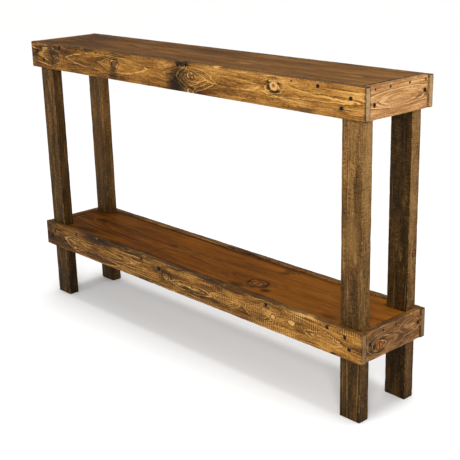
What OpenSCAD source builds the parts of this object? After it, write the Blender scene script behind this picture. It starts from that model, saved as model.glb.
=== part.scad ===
// Rustic pine console table: two board frames with let-in decks, carried on four legs.
// Millimetres, +Z up, +X along the length, +Y to the back.
// The origin is on the floor, under the middle of the table.

/* [Table] */
// Overall length, along the front and back boards
table_length = 1524; // [1100:1:1900]
// Height of the top surface above the floor
table_height = 937; // [760:1:1000]
// Height of the shelf frame's top edge above the floor
shelf_height = 277; // [150:1:400]
// How far the shelf deck lies below its frame's top edge
shelf_recess = 4; // [2:1:20]

/* [Boards] */
// Thickness of every frame board and deck
board_thickness = 19; // [16:0.5:25]
// Width of the frame boards, which is the frame's height
frame_board_width = 88; // [70:1:120]
// Width of the deck boards, which sets the table's depth
deck_width = 235; // [200:1:290]
// Gap between a deck and the frame around it
deck_gap = 1; // [0.5:0.5:3]
// How far the end boards are set in from the ends of the long boards
end_inset = 3; // [0:0.5:8]
// Radius of the eased edges on the boards
edge_radius = 2; // [1:0.5:4]

/* [Legs] */
// Width of a leg, along the table
leg_width = 72; // [60:1:89]
// Thickness of a leg, across the table
leg_thickness = 38; // [32:1:45]
// Spare room along the table in the shelf's notch around a leg
notch_room_x = 9; // [1:1:15]
// Spare room across the table in the shelf's notch around a leg
notch_room_y = 3; // [1:1:6]

/* [Fasteners] */
// Diameter of a screw's head
screw_head_d = 7; // [6:0.5:10]
// Diameter over a screw's thread
screw_thread_d = 4.2; // [3:0.1:5]
// Length of a screw
screw_length = 41; // [36:1:45]
// How far a screw's head is sunk below the wood
screw_sink = 1.2; // [0.5:0.1:2]
// Diameter of a brad nail
brad_d = 1.4; // [1:0.1:2]
// Length of a brad nail
brad_length = 38; // [30:1:45]
// How far a brad is set below the wood
brad_sink = 0.8; // [0.3:0.1:1.5]

/* [Hidden] */
// Clearance around a fastener, so that it touches nothing
snug = 0.05;
// Overrun of a cutting tool past the face it cuts
over = 1;
facets = 32;

STAIN = "#6b4524";
DARK_STAIN = "#4a3420";
SHELF_STAIN = "#774a22";
STEEL = "#1c1a19";

half_length = table_length / 2;
inner_half_depth = deck_width / 2 + deck_gap;
half_depth = inner_half_depth + board_thickness;
leg_outer_x = half_length - end_inset - board_thickness;
leg_inner_x = leg_outer_x - leg_width;
leg_inner_y = inner_half_depth - leg_thickness;
leg_top = table_height - board_thickness;
end_board_length = 2 * inner_half_depth;
deck_length = 2 * (leg_outer_x - deck_gap);

// Height of the top edge of each frame, and how deep the middle of its deck lies below it
TOP_Z = table_height;
SHELF_Z = shelf_height;
TOP_DECK_DROP = board_thickness / 2;
SHELF_DECK_DROP = shelf_recess + board_thickness / 2;

// Screws through a long board into the legs: [place along the table, drop below the board's top edge]
TOP_FRONT_LEG_SCREWS = [[-722, 31], [-687, 58], [683, 61], [713, 32]];
TOP_BACK_LEG_SCREWS = [[-718, 57], [-684, 30], [685, 33], [716, 59]];
SHELF_FRONT_LEG_SCREWS = [[-723, 52], [-707, 30], [702, 24], [717, 56]];
SHELF_BACK_LEG_SCREWS = [[-719, 28], [-690, 57], [688, 30], [720, 54]];
// Screws through an end board into the legs: [place across the table, drop below the board's top edge]
TOP_LEFT_END_SCREWS = [[-104, 43], [101, 44]];
TOP_RIGHT_END_SCREWS = [[-100, 49], [105, 38]];
SHELF_LEFT_END_SCREWS = [[-103, 41], [106, 42]];
SHELF_RIGHT_END_SCREWS = [[-101, 39], [109, 37]];
// Screws through a long board into the deck's long edge: place along the table
// (the top's front board has its screws at different heights, so each place has its drop too)
TOP_FRONT_DECK_SCREWS = [[-585, 9.5], [42, 9.5], [602, 13]];
TOP_BACK_DECK_SCREWS = [-560, -20, 590];
SHELF_FRONT_DECK_SCREWS = [-568, -188, 401, 637];
SHELF_BACK_DECK_SCREWS = [-610, -230, 190, 580];
// Brad nails through the top's front board into the deck
TOP_FRONT_BRADS = [-488, -372, 507];
// Brad nails through an end board into the deck's end: place across the table
TOP_LEFT_BRADS = [-104, -44, 35, 99];
TOP_RIGHT_BRADS = [-97, -37, 41, 108];
SHELF_LEFT_BRADS = [-31, 24];
SHELF_RIGHT_BRADS = [-46, 8];

// ---- Board blanks ----

// A rectangle with eased corners, centred on the origin
module eased_outline(w, h, r) {
    square([w - 2 * r, h], center = true);
    square([w, h - 2 * r], center = true);
    for (i = [-1, 1], j = [-1, 1])
        translate([i * (w / 2 - r), j * (h / 2 - r)])
            circle(r, $fn = facets);
}

// A board along X, centred on the origin: width is along Z, thickness along Y
module board(length, width, thickness, r = edge_radius) {
    rotate([90, 0, 90])
        translate([0, 0, -length / 2])
            linear_extrude(length)
                eased_outline(thickness, width, r);
}

// ---- Fasteners, each along -Z with its head's flat top at z = 0 ----

// Half profile of a screw: bugle head, neck, ringed thread and point
function screw_profile(head_r, thread_r, length) =
    let (root_r = thread_r * 0.68, pitch = 2.6, first = 12, point = 7,
         rings = floor((length - first - point) / pitch))
    concat(
        [[0, 0], [head_r, 0], [head_r, -0.7], [head_r * 0.62, -2.4],
         [thread_r * 0.85, -4.4], [root_r, -5.5]],
        [for (i = [0 : rings - 1], step = [0, 1, 2])
            [step == 1 ? thread_r : root_r, -(first + i * pitch + step * 0.55)]],
        [[root_r, -(length - point)], [0, -length]]
    );

module screw() {
    color(STEEL)
        difference() {
            rotate_extrude($fn = facets)
                polygon(screw_profile(screw_head_d / 2, screw_thread_d / 2, screw_length));
            // cross recess
            for (a = [0, 90])
                rotate([0, 0, a])
                    translate([-2.1, -0.45, -1.8])
                        cube([4.2, 0.9, 1.8 + over]);
        }
}

// The hole that a screw leaves: sink, countersink and shank bore
module screw_hole() {
    head_r = screw_head_d / 2 + snug;
    bore_r = screw_thread_d / 2 + snug;
    rotate_extrude($fn = facets)
        polygon([[0, screw_sink + over], [head_r, screw_sink + over], [head_r, -0.7],
                 [head_r * 0.64, -2.4], [bore_r, -4.4], [bore_r, -(screw_length + snug)],
                 [0, -(screw_length + snug)]]);
}

module brad() {
    color(STEEL) {
        rotate_extrude($fn = facets)
            polygon([[0, 0], [brad_d * 0.8, 0], [brad_d * 0.8, -0.8], [brad_d / 2, -1.4],
                     [brad_d / 2, -(brad_length - 2)], [0, -brad_length]]);
    }
}

module brad_hole() {
    bore_r = brad_d * 0.8 + snug;
    rotate_extrude($fn = facets)
        polygon([[0, brad_sink + over], [bore_r, brad_sink + over], [bore_r, -1.5],
                 [brad_d / 2 + snug, -1.5], [brad_d / 2 + snug, -(brad_length + snug)],
                 [0, -(brad_length + snug)]]);
}

// ---- Where the fasteners go ----

// Turns a fastener so that its head faces front (-1) or back (+1), sunk below that face
module through_long_board(side, x, z, sink) {
    translate([x, side * (half_depth - sink), z])
        rotate([-side * 90, 0, 0])
            children();
}

// The same for an end board: left (-1) or right (+1)
module through_end_board(side, y, z, sink) {
    translate([side * (half_length - end_inset - sink), y, z])
        rotate([0, side * 90, 0])
            children();
}

// Fasteners along a long board, each at [place along the table, drop], and along an end board
module along_long_board(side, places, frame_z, sink) {
    for (place = places)
        through_long_board(side, place[0], frame_z - place[1], sink)
            children();
}

module along_end_board(end, places, frame_z, sink) {
    for (place = places)
        through_end_board(end, place[0], frame_z - place[1], sink)
            children();
}

// Gives every place in a list the same drop
function level(places, drop) = [for (p = places) [p, drop]];

// ---- Wooden parts ----

// Children are the holes that the part is cut with
module long_apron(side, frame_z) {
    color(STAIN)
        difference() {
            translate([0, side * (half_depth - board_thickness / 2), frame_z - frame_board_width / 2])
                board(table_length, frame_board_width, board_thickness);
            children();
        }
}

module end_board(end, frame_z) {
    color(STAIN)
        difference() {
            translate([end * (leg_outer_x + board_thickness / 2), 0, frame_z - frame_board_width / 2])
                rotate([0, 0, 90])
                    board(end_board_length, frame_board_width, board_thickness);
            children();
        }
}

module deck_board(z) {
    translate([0, 0, z])
        rotate([90, 0, 0])
            board(deck_length, deck_width, board_thickness, 0.5);
}

module leg(end, side) {
    color(DARK_STAIN)
        difference() {
            translate([end * (leg_outer_x - leg_width / 2),
                       side * (leg_inner_y + leg_thickness / 2),
                       leg_top / 2])
                rotate([0, 90, 0])
                    board(leg_top, leg_width, leg_thickness);
            children();
        }
}

// ---- Fasteners and their holes, by group ----

module top_front_leg_places() {
    along_long_board(-1, TOP_FRONT_LEG_SCREWS, TOP_Z, screw_sink)
        children();
}

module top_back_leg_places() {
    along_long_board(1, TOP_BACK_LEG_SCREWS, TOP_Z, screw_sink)
        children();
}

module shelf_front_leg_places() {
    along_long_board(-1, SHELF_FRONT_LEG_SCREWS, SHELF_Z, screw_sink)
        children();
}

module shelf_back_leg_places() {
    along_long_board(1, SHELF_BACK_LEG_SCREWS, SHELF_Z, screw_sink)
        children();
}

module top_left_end_places() {
    along_end_board(-1, TOP_LEFT_END_SCREWS, TOP_Z, screw_sink)
        children();
}

module top_right_end_places() {
    along_end_board(1, TOP_RIGHT_END_SCREWS, TOP_Z, screw_sink)
        children();
}

module shelf_left_end_places() {
    along_end_board(-1, SHELF_LEFT_END_SCREWS, SHELF_Z, screw_sink)
        children();
}

module shelf_right_end_places() {
    along_end_board(1, SHELF_RIGHT_END_SCREWS, SHELF_Z, screw_sink)
        children();
}

module top_front_deck_places() {
    along_long_board(-1, TOP_FRONT_DECK_SCREWS, TOP_Z, screw_sink)
        children();
}

module top_back_deck_places() {
    along_long_board(1, level(TOP_BACK_DECK_SCREWS, TOP_DECK_DROP), TOP_Z, screw_sink)
        children();
}

module shelf_front_deck_places() {
    along_long_board(-1, level(SHELF_FRONT_DECK_SCREWS, SHELF_DECK_DROP), SHELF_Z, screw_sink)
        children();
}

module shelf_back_deck_places() {
    along_long_board(1, level(SHELF_BACK_DECK_SCREWS, SHELF_DECK_DROP), SHELF_Z, screw_sink)
        children();
}

module top_front_brad_places() {
    along_long_board(-1, level(TOP_FRONT_BRADS, TOP_DECK_DROP), TOP_Z, brad_sink)
        children();
}

module top_left_brad_places() {
    along_end_board(-1, level(TOP_LEFT_BRADS, TOP_DECK_DROP), TOP_Z, brad_sink)
        children();
}

module top_right_brad_places() {
    along_end_board(1, level(TOP_RIGHT_BRADS, TOP_DECK_DROP), TOP_Z, brad_sink)
        children();
}

module shelf_left_brad_places() {
    along_end_board(-1, level(SHELF_LEFT_BRADS, SHELF_DECK_DROP), SHELF_Z, brad_sink)
        children();
}

module shelf_right_brad_places() {
    along_end_board(1, level(SHELF_RIGHT_BRADS, SHELF_DECK_DROP), SHELF_Z, brad_sink)
        children();
}

// ---- Named parts ----

module top_deck() {
    color(DARK_STAIN)
        difference() {
            deck_board(TOP_Z - TOP_DECK_DROP);
            top_front_deck_places() screw_hole();
            top_back_deck_places() screw_hole();
            top_front_brad_places() brad_hole();
            top_left_brad_places() brad_hole();
            top_right_brad_places() brad_hole();
        }
}

module shelf_deck() {
    notch_x = leg_inner_x - notch_room_x;
    notch_y = leg_inner_y - notch_room_y;
    color(SHELF_STAIN)
        difference() {
            deck_board(SHELF_Z - SHELF_DECK_DROP);
            // notches around the legs
            for (end = [-1, 1], side = [-1, 1])
                translate([end < 0 ? -half_length : notch_x,
                           side < 0 ? -half_depth : notch_y,
                           SHELF_Z - SHELF_DECK_DROP - board_thickness])
                    cube([half_length - notch_x, half_depth - notch_y, 2 * board_thickness]);
            shelf_front_deck_places() screw_hole();
            shelf_back_deck_places() screw_hole();
            shelf_left_brad_places() brad_hole();
            shelf_right_brad_places() brad_hole();
        }
}

module top_front_apron() {
    long_apron(-1, TOP_Z) {
        top_front_leg_places() screw_hole();
        top_front_deck_places() screw_hole();
        top_front_brad_places() brad_hole();
    }
}

module top_back_apron() {
    long_apron(1, TOP_Z) {
        top_back_leg_places() screw_hole();
        top_back_deck_places() screw_hole();
    }
}

module shelf_front_apron() {
    long_apron(-1, SHELF_Z) {
        shelf_front_leg_places() screw_hole();
        shelf_front_deck_places() screw_hole();
    }
}

module shelf_back_apron() {
    long_apron(1, SHELF_Z) {
        shelf_back_leg_places() screw_hole();
        shelf_back_deck_places() screw_hole();
    }
}

module top_left_end_board() {
    end_board(-1, TOP_Z) {
        top_left_end_places() screw_hole();
        top_left_brad_places() brad_hole();
    }
}

module top_right_end_board() {
    end_board(1, TOP_Z) {
        top_right_end_places() screw_hole();
        top_right_brad_places() brad_hole();
    }
}

module shelf_left_end_board() {
    end_board(-1, SHELF_Z) {
        shelf_left_end_places() screw_hole();
        shelf_left_brad_places() brad_hole();
    }
}

module shelf_right_end_board() {
    end_board(1, SHELF_Z) {
        shelf_right_end_places() screw_hole();
        shelf_right_brad_places() brad_hole();
    }
}

module leg_front_left() {
    leg(-1, -1) {
        top_front_leg_places() screw_hole();
        top_left_end_places() screw_hole();
        shelf_front_leg_places() screw_hole();
        shelf_left_end_places() screw_hole();
    }
}

module leg_front_right() {
    leg(1, -1) {
        top_front_leg_places() screw_hole();
        top_right_end_places() screw_hole();
        shelf_front_leg_places() screw_hole();
        shelf_right_end_places() screw_hole();
    }
}

module leg_back_left() {
    leg(-1, 1) {
        top_back_leg_places() screw_hole();
        top_left_end_places() screw_hole();
        shelf_back_leg_places() screw_hole();
        shelf_left_end_places() screw_hole();
    }
}

module leg_back_right() {
    leg(1, 1) {
        top_back_leg_places() screw_hole();
        top_right_end_places() screw_hole();
        shelf_back_leg_places() screw_hole();
        shelf_right_end_places() screw_hole();
    }
}

// ---- Nodes ----

top_deck();
top_front_apron();
top_back_apron();
top_left_end_board();
top_right_end_board();
shelf_deck();
shelf_front_apron();
shelf_back_apron();
shelf_left_end_board();
shelf_right_end_board();
leg_front_left();
leg_front_right();
leg_back_left();
leg_back_right();
top_front_leg_places() screw();  // top_front_leg_screws
top_back_leg_places() screw();  // top_back_leg_screws
shelf_front_leg_places() screw();  // shelf_front_leg_screws
shelf_back_leg_places() screw();  // shelf_back_leg_screws
top_left_end_places() screw();  // top_left_end_screws
top_right_end_places() screw();  // top_right_end_screws
shelf_left_end_places() screw();  // shelf_left_end_screws
shelf_right_end_places() screw();  // shelf_right_end_screws
top_front_deck_places() screw();  // top_front_deck_screws
top_back_deck_places() screw();  // top_back_deck_screws
shelf_front_deck_places() screw();  // shelf_front_deck_screws
shelf_back_deck_places() screw();  // shelf_back_deck_screws
top_front_brad_places() brad();  // top_front_brads
top_left_brad_places() brad();  // top_left_brads
top_right_brad_places() brad();  // top_right_brads
shelf_left_brad_places() brad();  // shelf_left_brads
shelf_right_brad_places() brad();  // shelf_right_brads
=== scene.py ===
import math
import bpy
import numpy as np
from mathutils import Matrix, Vector


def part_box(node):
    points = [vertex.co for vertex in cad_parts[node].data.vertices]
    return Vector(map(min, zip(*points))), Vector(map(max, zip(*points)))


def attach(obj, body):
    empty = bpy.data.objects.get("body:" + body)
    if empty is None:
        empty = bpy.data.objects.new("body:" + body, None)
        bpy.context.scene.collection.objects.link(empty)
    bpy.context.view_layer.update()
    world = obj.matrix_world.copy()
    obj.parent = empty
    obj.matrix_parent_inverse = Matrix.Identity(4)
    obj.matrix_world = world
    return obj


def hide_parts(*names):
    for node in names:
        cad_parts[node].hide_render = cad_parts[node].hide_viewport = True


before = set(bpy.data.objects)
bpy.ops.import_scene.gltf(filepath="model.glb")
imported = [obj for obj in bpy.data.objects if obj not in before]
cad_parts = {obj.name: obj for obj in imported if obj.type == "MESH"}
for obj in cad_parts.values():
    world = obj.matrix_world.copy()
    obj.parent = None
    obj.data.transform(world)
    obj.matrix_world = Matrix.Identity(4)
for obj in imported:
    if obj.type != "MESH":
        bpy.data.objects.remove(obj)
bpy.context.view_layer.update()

X, Y, Z = 0, 1, 2
MM = 1000.0  # millimetres in a metre: the wood is worked out in mm


# ---------------------------------------------------------------- small helpers

def linear(code):
    """Linear RGBA from a hex colour."""
    out = []
    for i in (0, 2, 4):
        v = int(code[i:i + 2], 16) / 255
        out.append(v / 12.92 if v <= 0.04045 else ((v + 0.055) / 1.055) ** 2.4)
    return (*out, 1.0)


def noise3(p, seed=0):
    """Smooth value noise from 0 to 1 at each row of p, the same on every run."""
    base = np.floor(p).astype(np.int64)
    f = p - base
    f = f * f * (3 - 2 * f)
    total = 0.0
    for corner in range(8):
        d = np.array([corner & 1, corner >> 1 & 1, corner >> 2 & 1])
        q = base + d
        h = (q[:, 0] * 73856093) ^ (q[:, 1] * 19349663) ^ (q[:, 2] * 83492791) ^ (seed * 2654435761)
        h = (h ^ (h >> 13)) * 1274126177 & 0x7FFFFFFF
        h = (h ^ (h >> 16)) & 0xFFFFFF
        w = np.prod(np.where(d, f, 1 - f), axis=1)
        total = total + w * (h / 0xFFFFFF)
    return total


def shape_of(node, axes):
    """In mm, a node's middle along the world's axes, and its half size along its own."""
    lo, hi = (np.array(v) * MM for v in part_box(node))
    mid, half = (lo + hi) / 2, (hi - lo) / 2
    return mid, np.array([half[i] for i in axes])


def new_material(name):
    m = bpy.data.materials.new(name)
    m.use_nodes = True
    return m, m.node_tree, m.node_tree.nodes["Principled BSDF"]


def add_bump(tree, shader, height, distance):
    bump = tree.nodes.new("ShaderNodeBump")
    bump.inputs["Strength"].default_value = 1.0
    bump.inputs["Distance"].default_value = distance
    tree.links.new(height.sock, bump.inputs["Height"])
    tree.links.new(bump.outputs[0], shader.inputs["Normal"])


def link_object(o):
    bpy.context.scene.collection.objects.link(o)
    return o


# ---------------------------------------------------------------- node maths

class Val:
    """A socket in a node tree, with arithmetic that adds Math nodes."""

    def __init__(self, tree, sock):
        self.tree, self.sock = tree, sock

    def math(self, op, *others):
        n = self.tree.nodes.new("ShaderNodeMath")
        n.operation = op
        for i, v in enumerate((self, *others)):
            if isinstance(v, Val):
                self.tree.links.new(v.sock, n.inputs[i])
            else:
                n.inputs[i].default_value = v
        return Val(self.tree, n.outputs[0])

    def __add__(self, o):
        return self.math("ADD", o)

    def __sub__(self, o):
        return self.math("SUBTRACT", o)

    def __rsub__(self, o):
        return self.math("MULTIPLY", -1.0) + o

    def __mul__(self, o):
        return self.math("MULTIPLY", o)

    def __truediv__(self, o):
        return self.math("DIVIDE", o)

    def max(self, o):
        return self.math("MAXIMUM", o)

    def min(self, o):
        return self.math("MINIMUM", o)

    def abs(self):
        return self.math("ABSOLUTE")

    def fract(self):
        return self.math("FRACT")

    def step(self, a, b, lo=0.0, hi=1.0):
        """Smooth change from lo to hi as the value goes from a to b."""
        n = self.tree.nodes.new("ShaderNodeMapRange")
        n.interpolation_type = "SMOOTHSTEP"
        self.tree.links.new(self.sock, n.inputs["Value"])
        for key, v in (("From Min", a), ("From Max", b), ("To Min", lo), ("To Max", hi)):
            n.inputs[key].default_value = v
        return Val(self.tree, n.outputs[0])

    def ramp(self, stops):
        """Colours, or plain numbers, at places from 0 to 1."""
        n = self.tree.nodes.new("ShaderNodeValToRGB")
        elements = n.color_ramp.elements
        while len(elements) < len(stops):
            elements.new(0.5)
        for e, (at, c) in zip(elements, stops):
            e.position = at
            e.color = linear(c) if isinstance(c, str) else (c, c, c, 1)
        self.tree.links.new(self.sock, n.inputs[0])
        return Val(self.tree, n.outputs[0])


class Vec(Val):
    """A vector socket."""

    def vmath(self, op, *others):
        n = self.tree.nodes.new("ShaderNodeVectorMath")
        n.operation = op
        for i, v in enumerate((self, *others)):
            if isinstance(v, Val):
                self.tree.links.new(v.sock, n.inputs[i])
            else:
                n.inputs[i].default_value = v
        return n

    def vadd(self, o):
        return Vec(self.tree, self.vmath("ADD", o).outputs[0])

    def vsub(self, o):
        return Vec(self.tree, self.vmath("SUBTRACT", o).outputs[0])

    def vmul(self, o):
        return Vec(self.tree, self.vmath("MULTIPLY", o).outputs[0])

    def length(self):
        return Val(self.tree, self.vmath("LENGTH").outputs["Value"])

    def split(self):
        n = self.tree.nodes.new("ShaderNodeSeparateXYZ")
        self.tree.links.new(self.sock, n.inputs[0])
        return [Val(self.tree, s) for s in n.outputs]

    def noise(self, size, detail=2.0, rough=0.5, seed=0.0):
        """Noise from 0 to 1 whose blobs have this size in mm along a, b and c."""
        q = self.vmul([1 / s for s in size]).vadd([seed * 3.17, seed * 7.77, seed * 5.31])
        n = self.tree.nodes.new("ShaderNodeTexNoise")
        n.inputs["Scale"].default_value = 1.0
        n.inputs["Detail"].default_value = detail
        n.inputs["Roughness"].default_value = rough
        self.tree.links.new(q.sock, n.inputs["Vector"])
        return Val(self.tree, n.outputs["Fac"])


def combine(a, b, c):
    n = a.tree.nodes.new("ShaderNodeCombineXYZ")
    for i, v in enumerate((a, b, c)):
        if isinstance(v, Val):
            a.tree.links.new(v.sock, n.inputs[i])
        else:
            n.inputs[i].default_value = v
    return Vec(a.tree, n.outputs[0])


def mix(f, a, b):
    """Colour a, going to b as f goes from 0 to 1."""
    tree = f.tree
    n = tree.nodes.new("ShaderNodeMix")
    n.data_type = "RGBA"
    n.clamp_factor = True
    tree.links.new(f.sock, n.inputs["Factor"])
    for key, v in (("A", a), ("B", b)):
        s = [i for i in n.inputs if i.name == key and i.type == "RGBA"][0]
        if isinstance(v, Val):
            tree.links.new(v.sock, s)
        else:
            s.default_value = linear(v)
    return Val(tree, [o for o in n.outputs if o.type == "RGBA"][0])


# ---------------------------------------------------------------- wood

# How a piece of wood looks. Sizes are in mm, and the k values are strengths from 0 to 1. Some of it is
# painted light and shade: a tone that grows lighter along a board and whole faces made lighter or darker
# stand in for the lamps' light and the frame's shade, the dark line round a deck is the painted shade of its
# gap, and the pale rubbed edges are partly a painted highlight.
STAIN = dict(
    palette=((0.18, "1E1002"), (0.40, "4E2F0B"), (0.58, "7C521E"), (0.74, "986C32"), (0.92, "B98E52")),
    pale="CC9C56", pale_k=0.75, pale_gate=(0.48, 0.68), vein_k=0.85, dark="241403", dark_k=0.35,
    stain="1C1005",
    end=((0.08, "2E2113"), (0.25, "4F3D27"), (0.5, "8E7453"), (0.8, "B0976F")),
    spacing=8.0, pith=(4.0, -60.0), tilt=(0.004, 0.004), warp=14.0, wave=2.6, twist=13.0, bend=26.0,
    drift=0.0, over_drift=0.0, tone=0.0, cloud=0.50, cloud_size=(150, 34, 34), fibre=0.34, grit=0.36,
    speck=0.5, ripple=0.0, saw=0.0, saw_pitch=5.0, saw_dark=0.0, wear=0.6, wear_reach=0.8,
    wear_colour="B58C55", gap_shade=0.0, ends=0.35, top="4A2F12", top_k=0.85, painted_face_light_and_shade=(0.0, 0.0, 0.0, 0.0),
    rough=0.62, spec=0.08, grain_bump=0.16)

# Kinds of knot: its ring colours, how many of its rings fit in its radius, the strength and reach (in radii)
# of the stain round it, and how much of a pale outline and of a dark split it has.
KNOTS = dict(
    dark=dict(rings=("180D05", "6B4421", "2C1A0B", "8F6331"), count=2.0, stain=0.85, reach=2.3, outline=0.9,
              split=0.0),
    pale=dict(rings=("B58544", "A3763A", "C0924F", "8A6230"), count=1.0, stain=0.60, reach=1.6, outline=0.4,
              split=0.0),
    tan=dict(rings=("2A1206", "94632E", "C0945A", "54300F"), count=1.1, stain=0.95, reach=2.0, outline=0.6,
             split=0.0),
    red=dict(rings=("3E1E0A", "774518", "8A5727", "55300F"), count=1.5, stain=0.85, reach=1.7, outline=0.25,
             split=0.9),
    void=dict(rings=("040302", "080503", "040302", "0A0604"), count=1.0, stain=0.85, reach=2.4, outline=0.6,
              split=0.0))

# A flame's level lines are lenses between two arcs. Each arc's middle is this far behind the lens's long
# axis, in half widths, and the points then lie this many half widths out.
LENS_BACK = 0.6
LENS_REACH = 1.48


class Pine:
    """Stained pine on one board. Its places are in mm from the board's middle: a along the grain, b across
    the face and c through the board. axes gives the world axes that these are."""

    def __init__(self, name, node, axes, seed, look):
        self.look = s = {**STAIN, **look}
        self.seed = seed
        self.material, self.tree, self.shader = new_material(name)
        mid, half = shape_of(node, axes)
        self.half = [float(h) for h in half]
        coords = self.tree.nodes.new("ShaderNodeTexCoord")
        here = Vec(self.tree, coords.outputs["Object"]).vmul([MM] * 3).vsub([float(v) for v in mid])
        xyz = here.split()
        self.a, self.b, self.c = (xyz[i] for i in axes)
        self.place = combine(self.a, self.b, self.c)
        self.low = self.noise(0, (300, 60, 60), 1.0)
        self.curl = self.noise(1, (60, 13, 13), 2.5, 0.55)
        self.cloud = self.noise(2, s["cloud_size"], 4.0, 0.62)
        self.fibre = self.noise(3, (55, 2.6, 2.6), 3.0, 0.65)
        self.grit = self.noise(9, (7, 2.6, 2.6), 4.0, 0.75)
        self.twist = self.noise(10, (34, 17, 17), 2.0, 0.6)
        self.squirm = self.noise(11, (10, 7, 7), 2.0, 0.6)
        self.rub = self.noise(7, (24, 9, 9), 3.0, 0.7)
        self.flat = combine(self.a + (self.curl - 0.5) * s["bend"],
                            self.b + (self.twist - 0.5) * s["twist"], 0.0)

    def noise(self, which, size, detail=2.0, rough=0.5):
        return self.place.noise(size, detail, rough, seed=self.seed + which)

    def grow(self, knots, side_knots, flames):
        """Growth rings: the distance from a slightly leaning pith, pulled around knots and into flames."""
        s, a, b, c = self.look, self.a, self.b, self.c
        bb = b - s["pith"][0] - a * s["tilt"][0] + (self.low - 0.5) * s["warp"]
        cc = c - s["pith"][1] - a * s["tilt"][1]
        rings = ((bb * bb + cc * cc).math("SQRT") + (self.curl - 0.5) * s["wave"]) / s["spacing"]
        vein = None
        for flame in flames:
            pull, line = self.flame(*flame)
            rings = rings - pull
            vein = line if vein is None else vein.max(line)

        near = combine(a + (self.squirm - 0.5) * 6.0 + (self.curl - 0.5) * 12.0,
                       b + (self.grit - 0.5) * 2.0 + (self.twist - 0.5) * 9.0, 0.0)
        sideways = combine(a + (self.curl - 0.5) * 8.0, c + (self.twist - 0.5) * 6.0, 0.0)
        self.spots = []
        placed = [(near, *k) for k in knots] + [(sideways, *k) for k in side_knots]
        for base, ka, kb, radius, pull, kind in placed:
            d = base.vsub([ka, kb, 0.0]).vmul([0.8 / radius, 1 / radius, 0.0]).length()
            rings = rings - (d.math("POWER", 2.0) * 0.35 + 1.0).math("POWER", -1.0) * pull
            self.spots.append((d, a - ka + (self.squirm - 0.5) * 5.0, KNOTS[kind]))

        # Each ring has a pale line near its end and a dark one where the next begins.
        f = rings.fract()
        vary = combine(rings, a / 260.0, 0.0).noise((1.6, 1, 1), 1.0, seed=self.seed + 4)
        pale = f.ramp(((0.0, 0.0), (0.72, 0.0), (0.86, 1.0), (0.93, 0.9), (0.965, 0.0)))
        pale = pale * vary.step(*s["pale_gate"])
        for d, off, kind in self.spots:
            round_knot = f.ramp(((0.0, 0.0), (0.68, 0.0), (0.84, 1.0), (0.92, 0.9), (0.97, 0.0)))
            pale = pale.max(round_knot * d.step(3.2, 1.8) * 0.9)
        if vein is not None:
            pale = pale.max(vein * self.twist.step(0.36, 0.56, 0.25, 1.0) * s["vein_k"])
        self.pale = pale
        late = f.ramp(((0.0, 1.0), (0.05, 0.8), (0.18, 0.0), (0.96, 0.0), (1.0, 1.0)))
        self.dark = late * vary.step(0.25, 0.70, 0.2, 1.0)

    def flame(self, at_a, at_b, count, along, across):
        """How far a flame pulls the rings out, and its pale veins, one round each of its nested lenses."""
        ahead, behind = along if isinstance(along, tuple) else (along, along)
        da, db, _ = self.flat.vsub([at_a, at_b, 0.0]).split()
        lens = combine(da.max(0.0) * (LENS_REACH / ahead) - da.min(0.0) * (LENS_REACH / behind),
                       db.abs() * (1 / across), 0.0)
        d = lens.vadd([0.0, LENS_BACK, 0.0]).length() - LENS_BACK
        pull = (d.math("POWER", 1.5) + 1.0).math("POWER", -1.0) * count
        level = d * count + (self.squirm - 0.5) * 0.10
        off_line = ((level.fract() - 0.5).abs() - 0.5) * (-across / count)
        line = off_line.step(1.7, 0.5) * d.step(1.16, 1.08) * level.step(0.4, 0.6)
        return pull, line * lens.split()[0].step(0.2, 1.1, 0.45, 1.0)

    def base_colour(self):
        """The stain's own tone and darker top face, with painted light and shade: the tone grows lighter
        along the board towards the lamps, and whole faces are made lighter or darker where the lamps light
        them or the frame shades them.
        """
        s, a, b, c = self.look, self.a, self.b, self.c
        _, hb, hc = self.half
        over, under = b.step(hb - 1.6, hb - 0.4), b.step(-hb + 1.6, -hb + 0.4)
        tone = (self.cloud - 0.5) * s["cloud"] + (self.fibre - 0.5) * s["fibre"]
        # Painted light: the tone grows lighter along the board, towards the lamps.
        tone = (tone + (self.grit - 0.5) * s["grit"]) * 2.0 + a * s["drift"] + (0.56 + s["tone"])
        if s["ripple"]:
            ripple = self.noise(12, (3.2, 15, 15), 2.0, 0.6)
            tone = tone + (ripple - 0.5) * self.twist.step(0.35, 0.60, 0.3, 1.0) * (2.0 * s["ripple"])
        # Painted light and shade: whole faces made lighter where the lamps light them, darker where the frame
        # shades them.
        if any(s["painted_face_light_and_shade"]):
            outer, inner = c.step(hc - 1.6, hc - 0.4), c.step(-hc + 1.6, -hc + 0.4)
            for face, shift in zip((over, under, outer, inner), s["painted_face_light_and_shade"]):
                if shift:
                    tone = tone + face * shift
        # Painted light: the face over the board also grows lighter along it, towards the lamps.
        if s["over_drift"]:
            tone = tone + over * a * s["over_drift"]
        colour = (tone - self.dark * 0.10).ramp(s["palette"])
        colour = mix(self.dark * s["dark_k"], colour, s["dark"])
        worn = self.fibre.step(0.25, 0.6, 0.55, 1.0) * self.grit.step(0.25, 0.55, 0.55, 1.0)
        colour = mix(self.pale * s["pale_k"] * worn, colour, s["pale"])
        speck = self.noise(5, (11, 2.2, 2.2), 2.0, 0.6)
        colour = mix(speck.step(0.60, 0.70) * s["speck"], colour, s["dark"])
        if s["top_k"]:
            top_tone = (self.cloud - 0.5) * 1.2 + (self.grit - 0.5) * 0.6 + 0.5
            top_colour = top_tone.ramp(((0.2, "2C1A08"), (0.5, s["top"]), (0.85, "7C5729")))
            colour = mix(over * s["top_k"], colour, top_colour)
        return colour

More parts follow.
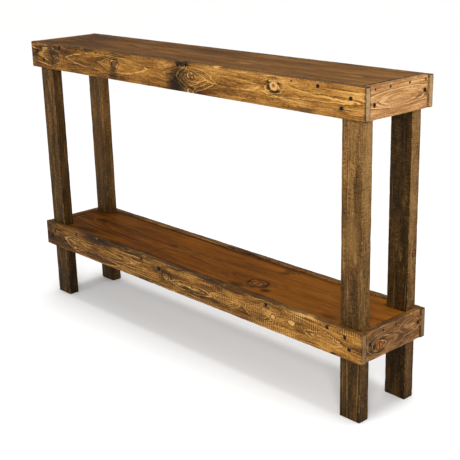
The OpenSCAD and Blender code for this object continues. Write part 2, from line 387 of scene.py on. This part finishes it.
    def paint_patches(self, colour, stains, chips):
        """Patches: stain pooled dark, and worn or chipped pale."""
        for places, paint in ((stains, self.look["stain"]), (chips, self.look["pale"])):
            for at_a, at_b, along, across, k in places:
                d = self.flat.vsub([at_a, at_b, 0.0]).vmul([1 / along, 1 / across, 0.0]).length()
                d = d + (self.cloud - 0.5) * 1.3 + (self.grit - 0.5) * 0.6
                colour = mix(d.step(1.25, 0.25) * (1.0 - self.pale * 0.35) * k, colour, paint)
        return colour

    def paint_knots(self, colour):
        """Knots: stained round about, with a ringed heart and an outline that turns from pale to black."""
        for d, off, k in self.spots:
            about = d + (self.curl - 0.5) * 0.9 + (self.grit - 0.5) * 0.5
            stained = about.step(k["reach"], 1.0) * (1.0 - self.pale * 0.6) * k["stain"]
            colour = mix(stained, colour, self.look["stain"])
            ringed = (d * k["count"]).fract().ramp([(i / 3, paint) for i, paint in enumerate(k["rings"])])
            colour = mix(d.step(1.05, 0.88), colour, ringed)
            outline = d.step(0.82, 0.98) * d.step(1.32, 1.10)
            colour = mix(outline * self.curl.step(0.54, 0.42) * 0.8, colour, "120A04")
            colour = mix(outline * self.curl.step(0.50, 0.60) * k["outline"], colour, self.look["pale"])
            if k["split"]:
                colour = mix(off.abs().step(2.2, 0.8) * d.step(0.95, 0.75) * k["split"], colour, "0A0503")
        return colour

    def paint_saw_marks(self, colour):
        """The saw's marks across the grain, in places, dark in the hollows and pale on the crests."""
        s = self.look
        where = self.noise(6, (170, 34, 34))
        along = self.a + (self.low - 0.5) * 20.0 + (self.squirm - 0.5) * 3.0
        marks = (along * (math.tau / s["saw_pitch"])).math("SINE")
        marks = marks * where.step(0.42, 0.60) * self.grit.step(0.25, 0.5, 0.4, 1.0)
        self.marks = marks * self.twist.step(0.35, 0.60, 0.3, 1.0)
        hollow = self.marks.step(0.0, 0.9) * self.fibre.step(0.62, 0.40, 0.35, 1.0) * s["saw_dark"]
        colour = mix(hollow, colour, s["dark"])
        return mix(self.marks.step(-0.3, -0.9) * s["saw_dark"] * 0.4, colour, s["pale"])

    def paint_edges(self, colour):
        """Edges rubbed pale, partly wear and partly a painted highlight, darker along every edge, ends dark,
        and the painted shade of the gap round a deck. The distance to the nearest edge is the sum of the two
        smaller distances to the faces."""
        s = self.look
        ea, eb, ec = (h - v.abs() for h, v in zip(self.half, (self.a, self.b, self.c)))
        edge = ea + eb + ec - ea.max(eb).max(ec)
        colour = mix((edge + (self.grit - 0.5) * 3.0).step(2.2, 0.4) * 0.5, colour, s["dark"])
        colour = mix((ea + (self.fibre - 0.5) * 14.0).step(7.0, 1.5) * s["ends"], colour, s["stain"])
        # Painted shade: a dark line along a deck's edges, for the shade in the gap between it and the frame.
        if s["gap_shade"]:
            colour = mix((edge + (self.rub - 0.5) * 7.0).step(4.0, 0.8) * s["gap_shade"], colour, "0E0904")
        # Pale along the edges: partly wear, and partly a painted highlight along the eased edges.
        rubbed_and_highlit = (edge + (self.rub - 0.5) * 14.0 - s["wear_reach"]).step(0.8, -1.4) * s["wear"]
        colour = mix(rubbed_and_highlit, colour, s["wear_colour"])

        # End grain, on the last half millimetre of the length.
        pores = self.noise(8, (4, 1.3, 1.3), 3.0, 0.7)
        rim = (eb.min(ec) + (self.rub - 0.5) * 4.0).step(3.6, 0.6)
        tone = (pores - 0.5) * 0.8 + (self.cloud - 0.5) * 0.5 + (self.rub - 0.5) * 0.4
        tone = tone + 0.54 - self.dark * 0.14 - rim * 0.45
        self.end = ea.step(0.75, 0.25)
        return mix(self.end, colour, tone.ramp(s["end"]))

    def paint_halo_and_well_shades(self, colour):
        """Dark stain around the screws and brads, and painted shade down their wells, from the mesh."""
        att = self.tree.nodes.new("ShaderNodeAttribute")
        att.attribute_name = "halo_and_well_shade"
        halo_and_well_shade = Val(self.tree, att.outputs["Fac"]) + (self.rub - 0.5) * 0.2
        return mix(halo_and_well_shade.step(0.15, 0.8), colour, "0C0703")

    def surface(self):
        """Roughness, and a bump of fibres, pale lines, saw marks and a groove around each knot."""
        s = self.look
        rough = (self.cloud - 0.5) * 0.2 + (self.fibre - 0.5) * 0.15 + s["rough"] + self.end * 0.15
        self.tree.links.new(rough.sock, self.shader.inputs["Roughness"])
        self.shader.inputs["Specular IOR Level"].default_value = s["spec"]
        height = (self.fibre - 0.5) * (s["grain_bump"] * 2.0) + (self.grit - 0.5) * (s["grain_bump"] * 1.5)
        height = height + self.pale * 0.05
        if s["saw"]:
            height = height + self.marks * s["saw"]
        for d, off, k in self.spots:
            height = height - d.step(0.85, 1.0) * d.step(1.3, 1.1) * 0.4
        add_bump(self.tree, self.shader, height, 0.001)


def wood(name, node, axes, seed, knots=(), side_knots=(), flames=(), stains=(), chips=(), **look):
    """Stained pine for a node, with its marks at places in mm from the board's middle, along and across:
    knots (a, b, radius, rings around it, kind),
    side_knots, the same on the narrow sides, with c in b's stead,
    flames, which are nested pointed ovals, (a, b, ovals, half length or (ahead, behind), half width),
    and stains and chips, which are dark and pale patches, (a, b, along, across, strength)."""
    pine = Pine(name, node, axes, seed, look)
    pine.grow(knots, side_knots, flames)
    colour = pine.paint_patches(pine.base_colour(), stains, chips)
    colour = pine.paint_knots(colour)
    if pine.look["saw"] or pine.look["saw_dark"]:
        colour = pine.paint_saw_marks(colour)
    colour = pine.paint_halo_and_well_shades(pine.paint_edges(colour))
    pine.tree.links.new(colour.sock, pine.shader.inputs["Base Color"])
    pine.surface()
    return pine.material


# ---------------------------------------------------------------- board meshes

def lines(half, ease, pitch):
    """Grid lines from -half to half in mm, close together over the eased edges."""
    near = [0.0, 0.423 * ease, 0.732 * ease, ease, 1.7 * ease, 2.8 * ease]
    n = max(2, int(round((2 * half - 5.6 * ease) / pitch)))
    inner = np.linspace(-half + 2.8 * ease, half - 2.8 * ease, n + 1)[1:-1]
    return np.array([-half + v for v in near] + list(inner) + [half - v for v in reversed(near)])


def skin(grid, notch):
    """The outside of a block of cells between the grid lines: its points, and quads that face outwards."""
    if notch:
        for k in (0, 1):
            keep = grid[k][np.abs(np.abs(grid[k]) - notch[k]) > 1.5]
            grid[k] = np.sort(np.concatenate([keep, [-notch[k], notch[k]]]))
    counts = [len(g) for g in grid]
    cells = np.ones([n - 1 for n in counts], bool)
    if notch:
        ca, cb = ((g[1:] + g[:-1]) / 2 for g in grid[:2])
        cells[(np.abs(ca)[:, None] > notch[0]) & (np.abs(cb)[None, :] > notch[1])] = False
    index = np.arange(np.prod(counts)).reshape(counts)
    padded = np.pad(cells, 1)
    corners = [(0, 0), (1, 0), (1, 1), (0, 1)]
    quads = []
    for k in range(3):
        u, v = (k + 1) % 3, (k + 2) % 3
        for side in (0, 1):
            beyond = np.roll(padded, -1 if side else 1, axis=k)[1:-1, 1:-1, 1:-1]
            i = np.array(np.nonzero(cells & ~beyond))
            i[k] += side
            ring = []
            for du, dv in (corners if side else corners[::-1]):
                j = i.copy()
                j[u] += du
                j[v] += dv
                ring.append(index[j[0], j[1], j[2]])
            quads.append(np.stack(ring, 1))
    used, inverse = np.unique(np.concatenate(quads), return_inverse=True)
    points = np.stack(np.meshgrid(*grid, indexing="ij"), -1).reshape(-1, 3)[used]
    return points, inverse.reshape(-1, 4)


def wear_down(flat, half, ease, seed, rough):
    """Points moved inwards, for eased edges with a radius that wanders, nicks, and a slight unevenness."""
    along = np.stack([flat[:, 0] / 38, np.sign(flat[:, 1]) * 5 + 0.3, np.sign(flat[:, 2]) * 3 + 0.7], 1)
    radius = ease * np.clip(0.45 + 1.15 * noise3(along, seed), 0.5, 1.6)
    inner = np.clip(flat, -(half - radius[:, None]), half - radius[:, None])
    out = flat - inner
    size = np.linalg.norm(out, axis=1)
    size[size == 0] = 1
    on_edge = (np.abs(out) > 1e-6).sum(1) > 1
    nick_place = np.stack([flat[:, 0] / 9, np.sign(flat[:, 1]) * 4, np.sign(flat[:, 2]) * 6], 1)
    nick = np.clip(noise3(nick_place, seed + 5) - 0.66, 0, 1)
    shrink = np.where(on_edge, 1 - rough * 1.8 * nick / np.maximum(radius, 0.5), 1.0)
    pts = inner + out * (np.where(on_edge, radius / size, 1.0) * shrink)[:, None]
    dip = 0.22 * rough * noise3(flat / np.array([70, 18, 18]) + 11, seed + 2)
    for k in (1, 2):
        face = np.abs(flat[:, k]) > half[k] - 1e-6
        pts[face, k] -= np.sign(flat[face, k]) * dip[face]
    face = np.abs(flat[:, 0]) > half[0] - 1e-6
    pts[face, 0] -= np.sign(flat[face, 0]) * 0.3 * noise3(flat[face] / 4 + 3, seed + 3)
    return pts


WELL_SIDES = 24


def well(hole, rim, verts, faces):
    """A round sunk hole, joined to a rim of points around it. Returns how dark each new point is made: the
    painted shade down the well.
    """
    at_a, at_b, radius, depth, side = hole
    facing = 1 if side > 0 else -1

    def angle(v):
        return math.atan2(verts[v][1] - at_b, verts[v][0] - at_a) % math.tau

    def add(face):
        faces.append(face[::facing])

    rim = sorted(rim, key=angle)
    level = float(np.mean([abs(verts[v][2]) for v in rim]))
    shades, loops = [], []
    profile = ((radius + 1.0, 0.0), (radius + 0.25, 0.22), (radius, 0.7), (radius - 0.04, depth))
    for reach, deep in profile:
        loops.append(list(range(len(verts), len(verts) + WELL_SIDES)))
        for k in range(WELL_SIDES):
            t = math.tau * k / WELL_SIDES
            r = reach * (1 + 0.03 * math.sin(3 * t + at_a)) if reach > radius + 0.5 else reach
            verts.append((at_a + r * math.cos(t), at_b + r * math.sin(t), side * (level - deep)))
            # Painted shade: points down in the well are made fully dark, and the ring at its rim nearly as
            # dark.
            shades.append(1.0 if deep > 0.1 else 0.75)
    verts.append((at_a, at_b, side * (level - depth)))
    shades.append(1.0)

    # The rim and the first loop are joined by triangles, going round both at once.
    first, centre = loops[0], len(verts) - 1
    i = j = 0
    while i < len(rim) or j < WELL_SIDES:
        next_rim = angle(rim[(i + 1) % len(rim)]) + (math.tau if i + 1 >= len(rim) else 0)
        if j >= WELL_SIDES or (i < len(rim) and next_rim <= math.tau * (j + 1) / WELL_SIDES):
            add((rim[i % len(rim)], rim[(i + 1) % len(rim)], first[j % WELL_SIDES]))
            i += 1
        else:
            add((rim[i % len(rim)], first[(j + 1) % WELL_SIDES], first[j % WELL_SIDES]))
            j += 1
    for p0, p1 in zip(loops, loops[1:]):
        for k in range(WELL_SIDES):
            after = (k + 1) % WELL_SIDES
            add((p0[k], p0[after], p1[after], p1[k]))
    for k in range(WELL_SIDES):
        add((loops[-1][k], loops[-1][(k + 1) % WELL_SIDES], centre))
    return shades


def sink(holes, grid, half, flat, quads, verts, faces):
    """Cuts each hole's cells out of the board and joins a well into the gap. Returns the faces that are left,
    and how dark every point is made: stain round each hole and painted shade down its well."""
    lookup = {}
    for n, q in enumerate(quads):
        for side in (-1, 1):
            if np.all(np.abs(flat[q, 2] - side * half[2]) < 1e-6):
                lookup[(side, *np.round(flat[q, :2].mean(0), 3))] = n
    halo_and_well_shade, shades, removed = np.zeros(len(flat)), [], set()
    for hole in holes:
        at_a, at_b, radius, depth, side = hole
        reach = radius + 1.3
        i0, i1 = np.searchsorted(grid[0], at_a - reach) - 1, np.searchsorted(grid[0], at_a + reach)
        j0, j1 = np.searchsorted(grid[1], at_b - reach) - 1, np.searchsorted(grid[1], at_b + reach)
        mid_a, mid_b = ((g[1:] + g[:-1]) / 2 for g in grid[:2])
        gone = {lookup[(side, round(mid_a[i], 3), round(mid_b[j], 3))]
                for i in range(i0, i1) for j in range(j0, j1)}
        removed |= gone
        rim = {int(v) for n in gone for v in quads[n]
               if flat[v, 0] in (grid[0][i0], grid[0][i1]) or flat[v, 1] in (grid[1][j0], grid[1][j1])}
        shades += well(hole, rim, verts, faces)
        d = np.hypot(flat[:, 0] - at_a, flat[:, 1] - at_b)
        same_face = np.abs(flat[:, 2] - side * half[2]) < 1e-6
        halo_and_well_shade = np.maximum(halo_and_well_shade, np.where(same_face, 0.55 * np.exp(-((d / (radius * 1.7)) ** 2)), 0))
    return [q for n, q in enumerate(faces) if n not in removed], np.concatenate([halo_and_well_shade, shades])


def board(name, node, axes, material, seed, slot, holes=(), notch=None, ease=2.2, pitch=7.0, rough=1.0):
    """A worn board in place of a CAD node. holes: (a, b, head radius, depth, side) in mm, on the side of c
    that the sign gives. notch: (a, b) where the corners are cut away beyond."""
    mid, half = shape_of(node, axes)
    eases = (ease, ease, min(ease, half[2] / 4))
    grid = [lines(h, e, pitch) for h, e in zip(half, eases)]
    flat, quads = skin(grid, notch)
    verts = [tuple(v) for v in wear_down(flat, half, ease, seed, rough)]
    faces, halo_and_well_shade = sink(holes, grid, half, flat, quads, verts, [tuple(q) for q in quads])

    place = np.zeros((len(verts), 3))
    for k, i in enumerate(axes):
        place[:, i] = np.array(verts)[:, k] + mid[i]
    if (axes[1] - axes[0]) % 3 != 1:
        faces = [q[::-1] for q in faces]
    mesh = bpy.data.meshes.new(name)
    mesh.from_pydata((place / MM).tolist(), [], faces)
    mesh.validate()
    att = mesh.attributes.new("halo_and_well_shade", "FLOAT", "POINT")
    att.data.foreach_set("value", halo_and_well_shade)
    mesh.polygons.foreach_set("use_smooth", [True] * len(mesh.polygons))
    mesh.set_sharp_from_angle(angle=math.radians(38))
    mesh.materials.append(material)
    o = link_object(bpy.data.objects.new(name, mesh))
    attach(o, "root")
    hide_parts(node)


# ---------------------------------------------------------------- the frame boards

# The world axes that a piece's own a, b and c are, by the way that its grain runs.
ALONG, ACROSS, UP, FLAT = (X, Z, Y), (Y, Z, X), (Z, X, Y), (X, Y, Z)
FRONT, BACK, LEFT, RIGHT = -1, 1, -1, 1

# Head radius and depth of the wells, and the drop of those that go into a deck's edge.
SCREW, BRAD = (3.55, 2.3), (1.25, 1.3)
TOP_DECK_DROP, SHELF_DECK_DROP = 9.5, 13.5


def fixings(node, side, screws, brads=()):
    """Holes for a frame board, from places along it and drops below its top edge."""
    lo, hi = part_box(node)
    top = round((hi[2] - lo[2]) / 2 * MM, 3)
    return [(a, top - drop, *kind, side)
            for places, kind in ((screws, SCREW), (brads, BRAD)) for a, drop in places]


def at(drop, *places):
    """Places along a board that are all the same drop below its top edge."""
    return [(a, drop) for a in places]


# The top's front board: golden and knotty, with pooled stain.
m = wood("top_front_apron_pine", "top_front_apron", ALONG, 1.0, drift=0.00018, tone=-0.03, wear=0.95,
         wear_reach=-0.4, ends=0.8, wear_colour="C49A5C", pale_gate=(0.54, 0.72),
         knots=((-610, 0, 11, 4.0, "dark"), (-275, 8, 12, 4.0, "dark"), (80, 36, 5, 2.0, "void"),
                (98, -40, 9, 3.0, "dark"), (98, 8, 8, 2.0, "dark"), (442, 14, 15, 2.0, "tan")),
         flames=((-325, 6, 1, 219, 26), (92, 0, 3, (112, 56), 35), (270, 6, 1, 118, 15),
                 (-690, 30, 1, 70, 10), (640, -4, 1, 240, 18)),
         stains=((-632, 4, 30, 60, 0.9), (-284, -24, 26, 40, 0.75), (34, -12, 66, 62, 1.0),
                 (66, 38, 44, 12, 1.0), (560, -38, 50, 12, 0.7), (436, 14, 26, 16, 0.5),
                 (-420, 40, 60, 8, 0.5), (-730, 0, 12, 50, 0.5)),
         chips=((212, 43, 20, 4, 0.7),))
board("top_front_board", "top_front_apron", ALONG, m, 11, "frame_board",
      fixings("top_front_apron", FRONT,
              [(-722, 31), (-687, 58), (683, 61), (713, 32), *at(TOP_DECK_DROP, -585, 42), (602, 13)],
              at(TOP_DECK_DROP, -488, -372, 507)))
m = wood("top_back_apron_pine", "top_back_apron", ALONG, 2.0,
         knots=((-410, 10, 10, 4, "dark"), (236, -12, 9, 4, "red"), (560, 20, 6, 3, "dark")),
         flames=((-380, 8, 2, 190, 26), (250, -10, 3, 150, 28), (620, 0, 1, 130, 20)),
         stains=((-420, 8, 50, 40, 0.7), (240, -10, 60, 40, 0.6), (-690, 20, 50, 40, 0.5)))
board("top_back_board", "top_back_apron", ALONG, m, 12, "frame_board",
      fixings("top_back_apron", BACK,
              [(-718, 57), (-684, 30), (685, 33), (716, 59), *at(TOP_DECK_DROP, -560, -20, 590)]))

# The shelf's long boards: rough sawn and more worn, with more pale edges that are partly a painted highlight.
ROUGH_LOOK = dict(
    wave=6.0, spacing=6.5, grit=0.46, fibre=0.42, cloud=0.55, saw=0.22, saw_dark=0.65, saw_pitch=8.0,
    speck=0.65, wear=0.9, wear_reach=0.0, tone=-0.11, ends=0.5, vein_k=0.75,
    end=((0.08, "22180D"), (0.25, "3C2C1B"), (0.5, "6A5236"), (0.8, "8C7250")))
m = wood("shelf_front_apron_pine", "shelf_front_apron", ALONG, 3.0, drift=0.00014,
         knots=((-575, -14, 8, 4.0, "dark"), (-98, 18, 6, 3.0, "void"), (-60, -4, 5, 4.0, "dark"),
                (31, 34, 3.5, 2.0, "void"), (401, 26, 7, 3.0, "dark"), (427, 2, 7, 1.5, "pale"),
                (505, 4, 7, 1.5, "pale"), (-10, -12, 4, 3.0, "dark")),
         flames=((-420, 2, 2, 185, 18), (-450, -28, 1, 140, 12), (228, -2, 3, 60, 20), (372, -2, 4, 62, 26),
                 (60, -8, 2, 100, 14), (620, -6, 2, 70, 15)),
         stains=((-330, 38, 240, 10, 0.85), (-10, 36, 90, 11, 0.8), (200, 38, 160, 7, 0.7),
                 (659, -42, 14, 8, 1.0), (-735, 0, 30, 60, 0.6), (-100, 12, 30, 20, 0.5)),
         chips=((560, 40, 60, 5, 0.6), (427, 2, 9, 5, 0.6), (505, 4, 9, 5, 0.6)), **ROUGH_LOOK)
board("shelf_front_board", "shelf_front_apron", ALONG, m, 13, "frame_board",
      fixings("shelf_front_apron", FRONT,
              [(-723, 52), (-707, 30), (702, 24), (717, 56), *at(SHELF_DECK_DROP, -568, -188, 401, 637)]),
      rough=1.6)
m = wood("shelf_back_apron_pine", "shelf_back_apron", ALONG, 4.0,
         knots=((-220, -8, 9, 4, "dark"), (512, 12, 9, 3, "red"), (90, 24, 5, 3, "void")),
         flames=((-200, -6, 2, 160, 24), (500, 8, 3, 140, 26), (-560, 6, 1, 120, 18)),
         stains=((-230, -6, 60, 34, 0.6), (520, 10, 50, 30, 0.5), (100, 38, 200, 9, 0.7)),
         **dict(ROUGH_LOOK, wear=0.4))
board("shelf_back_board", "shelf_back_apron", ALONG, m, 14, "frame_board",
      fixings("shelf_back_apron", BACK,
              [(-719, 28), (-690, 57), (688, 30), (720, 54), *at(SHELF_DECK_DROP, -610, -230, 190, 580)]),
      rough=1.5)

# End boards: paler and pinker, with close grain. The shelf's are darker and rougher than the top's.
TOP_END_LOOK = dict(
    spacing=6.0, top_k=0.35, warp=10.0, pale="DDB57E", pale_gate=(0.36, 0.56), dark="3A2311", dark_k=0.6,
    twist=8.0, fibre=0.28, wear=0.85, wear_reach=0.0, wear_colour="C9A575",
    palette=((0.18, "2C1A0B"), (0.40, "6A4521"), (0.58, "936539"), (0.74, "AD7F4E"), (0.92, "C99E6C")))
SHELF_END_LOOK = dict(TOP_END_LOOK, tone=-0.17, pale="BC915E", saw=0.12, saw_dark=0.3, vein_k=0.6,
                      pale_gate=(0.48, 0.68), bend=10.0, spacing=7.5, dark_k=0.45, wave=1.6)
m = wood("top_right_end_pine", "top_right_end_board", ACROSS, 5.0, tone=0.10, flames=((4, -1, 3, 98, 20),),
         stains=((-20, -2, 40, 5, 0.35),), **TOP_END_LOOK)
board("top_right_end", "top_right_end_board", ACROSS, m, 15, "frame_board",
      fixings("top_right_end_board", RIGHT, [(-100, 49), (105, 38)], at(TOP_DECK_DROP, -97, -37, 41, 108)),
      pitch=6)
m = wood("top_left_end_pine", "top_left_end_board", ACROSS, 6.0, knots=((30, -8, 9, 4, "dark"),),
         flames=((20, -8, 2, 90, 24),), stains=((30, -8, 50, 30, 0.5),), **TOP_END_LOOK)
board("top_left_end", "top_left_end_board", ACROSS, m, 16, "frame_board",
      fixings("top_left_end_board", LEFT, [(-104, 43), (101, 44)], at(TOP_DECK_DROP, -104, -44, 35, 99)),
      pitch=6)
m = wood("shelf_right_end_pine", "shelf_right_end_board", ACROSS, 7.0, knots=((-60, -11, 16, 2.0, "red"),),
         flames=((-56, -11, 3, (150, 66), 46), (84, 12, 2, 62, 24)),
         stains=((-92, -4, 22, 50, 0.6), (10, -40, 70, 8, 0.4)), **SHELF_END_LOOK)
board("shelf_right_end", "shelf_right_end_board", ACROSS, m, 17, "frame_board",
      fixings("shelf_right_end_board", RIGHT, [(-101, 39), (109, 37)], at(SHELF_DECK_DROP, -46, 8)),
      pitch=6)
m = wood("shelf_left_end_pine", "shelf_left_end_board", ACROSS, 8.0,
         flames=((40, 6, 2, 80, 22), (-70, -6, 2, 60, 18)), stains=((60, 10, 60, 40, 0.5),), **SHELF_END_LOOK)
board("shelf_left_end", "shelf_left_end_board", ACROSS, m, 18, "frame_board",
      fixings("shelf_left_end_board", LEFT, [(-103, 41), (106, 42)], at(SHELF_DECK_DROP, -31, 24)),
      pitch=6)


# ---------------------------------------------------------------- the decks

# One smooth wide board each, with soft streaks. The shelf's is redder and more even.
TOP_LOOK = dict(
    palette=((0.15, "2A1806"), (0.40, "4C2F10"), (0.60, "66431D"), (0.9, "886334")), pale="90693C",
    pale_k=0.50, dark_k=0.40, vein_k=0.5, cloud=0.48, cloud_size=(300, 34, 34), fibre=0.30, ends=0.9,
    grit=0.14, speck=0.18, spec=0.02, pith=(-10, -120), tilt=(0.006, 0.01), spacing=9.0, wear=0.4,
    wear_reach=1.6, wear_colour="8A683E", top_k=0.0, grain_bump=0.06, gap_shade=0.85, drift=0.00018)
SHELF_LOOK = dict(
    TOP_LOOK, palette=((0.15, "241001"), (0.40, "502B05"), (0.60, "72410C"), (0.9, "945B1E")), pale="9E6628",
    fibre=0.19, cloud=0.36, dark_k=0.25, speck=0.08)
DECK_MESH = dict(ease=0.8, pitch=14, rough=0.5)

# The shelf's corners are notched around the legs, with this much room along and across.
NOTCH_ROOM = (9, 3)
leg_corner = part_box("leg_back_right")[0]
notch = [round(leg_corner[k] * MM, 3) - NOTCH_ROOM[k] for k in (X, Y)]

m = wood("top_deck_pine", "top_deck", FLAT, 9.0, tone=-0.022,
         flames=((-260, 20, 3, 460, 74), (420, -30, 2, 300, 50)),
         stains=((-60, 90, 300, 20, 0.35), (330, 40, 200, 30, 0.3), (-128, -5, 60, 12, 0.5),
                 (-600, 0, 90, 110, 0.25)),
         chips=((-370, 93, 50, 10, 0.35), (226, -38, 34, 12, 0.55), (-145, -24, 70, 6, 0.35)), **TOP_LOOK)
board("top_board", "top_deck", FLAT, m, 19, "top_board", **DECK_MESH)
m = wood("shelf_deck_pine", "shelf_deck", FLAT, 10.0,
         knots=((276, -50, 24, 1.5, "red"), (300, 92, 6, 2.0, "dark")),
         flames=((250, -50, 3, 210, 60), (-330, 10, 3, 330, 66), (640, 30, 2, 150, 34)),
         stains=((0, 112, 760, 13, 0.75), (0, -114, 760, 9, 0.7), (-198, -60, 9, 60, 0.35),
                 (-190, 4, 26, 14, 0.4), (-612, 18, 34, 20, 0.55), (-558, -97, 90, 20, 0.6),
                 (232, -96, 40, 18, 0.7), (335, -76, 22, 18, 0.9), (273, 80, 26, 30, 0.55),
                 (606, -90, 40, 18, 0.6)),
         chips=((-313, -24, 60, 5, 0.4), (560, -30, 90, 4, 0.35)), **SHELF_LOOK)
board("shelf_board", "shelf_deck", FLAT, m, 20, "shelf_board", notch=notch, **DECK_MESH)


# ---------------------------------------------------------------- the legs

# Darker and straight grained, with the saw's chatter across them. Each leg's painted light and shade: how
# much lighter the right, left, back and front faces are made, lighter where the lamps reach them and darker
# where the frame shades them, and how fast the tone grows lighter up the leg and up its right face, towards
# the lamps.
LEG_LOOK = dict(
    palette=((0.15, "120900"), (0.40, "342107"), (0.60, "593D1A"), (0.9, "8A683C")), pale="93703F",
    pale_k=0.45, dark_k=0.35, saw=0.14, saw_dark=0.35, saw_pitch=5.0, pith=(10, -80), ripple=0.32,
    cloud_size=(130, 22, 22), cloud=0.38, grit=0.42, fibre=0.25, wear=0.5, wear_colour="86653C", spacing=6.0,
    top_k=0.0, drift=0.00034)
LEGS = dict(
    front_left=dict(painted_face_light_and_shade=(-0.19, 0, 0, -0.10), tone=-0.02, drift=0.00022, knots=((390, 4, 9, 2, "red"),)),
    back_left=dict(painted_face_light_and_shade=(0.0, 0, 0, -0.04), tone=-0.02, knots=((-150, -12, 7, 3, "dark"),)),
    front_right=dict(painted_face_light_and_shade=(0.09, 0, 0, -0.04), tone=-0.02, drift=0.00040, over_drift=0.00014,
                     chips=((20, 14, 26, 7, 0.3), (70, 0, 70, 26, 0.25))),
    back_right=dict(painted_face_light_and_shade=(0.05, 0, 0, -0.24), drift=0.00002, over_drift=0.00038,
                    side_knots=((-18, 6, 7, 2, "red"),)))
for n, (corner, look) in enumerate(LEGS.items()):
    m = wood("leg_%s_pine" % corner, "leg_" + corner, UP, 20.0 + n, **dict(LEG_LOOK, **look))
    board("leg_%s_upright" % corner, "leg_" + corner, UP, m, 30 + n, "leg_wood", pitch=9)


# ---------------------------------------------------------------- fasteners

def steel(name, dark, light):
    """Dull, blotchy coated steel."""
    m, tree, shader = new_material(name)
    coords = tree.nodes.new("ShaderNodeTexCoord")
    p = Vec(tree, coords.outputs["Object"]).vmul([MM] * 3)
    grit = p.noise((0.8, 0.8, 0.8), 3.0, 0.6)
    blotch = p.noise((3, 3, 3), 2.0)
    colour = ((grit - 0.5) * 0.6 + (blotch - 0.5) * 0.8 + 0.5).ramp(((0.2, dark), (0.8, light)))
    tree.links.new(colour.sock, shader.inputs["Base Color"])
    tree.links.new((grit * 0.25 + 0.5).sock, shader.inputs["Roughness"])
    shader.inputs["Metallic"].default_value = 0.35
    shader.inputs["Specular IOR Level"].default_value = 0.25
    add_bump(tree, shader, grit, 0.0001)
    return m


FINISHES = {"screws": steel("black_screw_steel", "060505", "1B1918"),
            "brads": steel("dark_brad_steel", "0B0806", "221C16")}
for node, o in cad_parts.items():
    finish = FINISHES.get(node.rsplit("_", 1)[-1])
    if finish:
        for s in o.material_slots:
            s.material = finish


# ---------------------------------------------------------------- floor, light and camera

FLOOR_REACH = 40
FLOOR_DROP = 0.0003
corners = [(-FLOOR_REACH, -FLOOR_REACH, 0), (FLOOR_REACH, -FLOOR_REACH, 0), (FLOOR_REACH, FLOOR_REACH, 0),
           (-FLOOR_REACH, FLOOR_REACH, 0)]
floor_mesh = bpy.data.meshes.new("floor")
floor_mesh.from_pydata(corners, [], [(0, 1, 2, 3)])
floor = link_object(bpy.data.objects.new("floor", floor_mesh))
floor.location.z = -FLOOR_DROP
m, tree, shader = new_material("pale_floor")
shader.inputs["Base Color"].default_value = (0.80, 0.80, 0.795, 1)
shader.inputs["Roughness"].default_value = 0.9
shader.inputs["Specular IOR Level"].default_value = 0.0
floor_mesh.materials.append(m)

studio = bpy.data.worlds.new("studio")
studio.use_nodes = True
background = studio.node_tree.nodes["Background"]
background.inputs["Color"].default_value = (1, 1, 1, 1)
background.inputs["Strength"].default_value = 0.70
bpy.context.scene.world = studio


def softbox(name, place, aim, size, watts):
    """A rectangular lamp at a place, turned towards its aim."""
    lamp = bpy.data.lights.new(name, "AREA")
    lamp.shape = "RECTANGLE"
    lamp.size, lamp.size_y = size
    lamp.energy = watts
    o = link_object(bpy.data.objects.new(name, lamp))
    o.location = place
    o.rotation_euler = (Vector(aim) - Vector(place)).to_track_quat("-Z", "Y").to_euler()


sun = bpy.data.lights.new("overhead", "SUN")
sun.energy = 1.7
sun.angle = math.radians(24)
link_object(bpy.data.objects.new("overhead", sun)).rotation_euler = (math.radians(-3), math.radians(2), 0)
softbox("key", (2.9, -2.7, 2.1), (0.5, 0, 0.6), (1.3, 1.3), 130)
softbox("front", (-0.6, -4.2, 2.2), (0, 0, 0.5), (2.4, 1.8), 50)

bpy.context.scene.view_settings.view_transform = "Standard"
bpy.context.scene.view_settings.look = "None"

# The camera looks at AIM from an azimuth off the front and an elevation, and is rolled a little.
AIM, DISTANCE = Vector((0.10167, 0, 0.39448)), 3.1648
AZIMUTH, ELEVATION, ROLL = math.radians(47.772), math.radians(17.841), math.radians(-1.571)
back = Vector((math.sin(AZIMUTH) * math.cos(ELEVATION), -math.cos(AZIMUTH) * math.cos(ELEVATION),
               math.sin(ELEVATION)))
right = (-back).cross(Vector((0, 0, 1))).normalized()
up = right.cross(-back)
rolled_right = math.cos(ROLL) * right + math.sin(ROLL) * up
rolled_up = -math.sin(ROLL) * right + math.cos(ROLL) * up
lens = bpy.data.cameras.new("camera")
lens.lens, lens.sensor_width = 78.28, 36
camera = link_object(bpy.data.objects.new("camera", lens))
turn = Matrix((rolled_right, rolled_up, back)).transposed().to_4x4()
camera.matrix_world = Matrix.Translation(AIM + back * DISTANCE) @ turn
bpy.context.scene.camera = camera
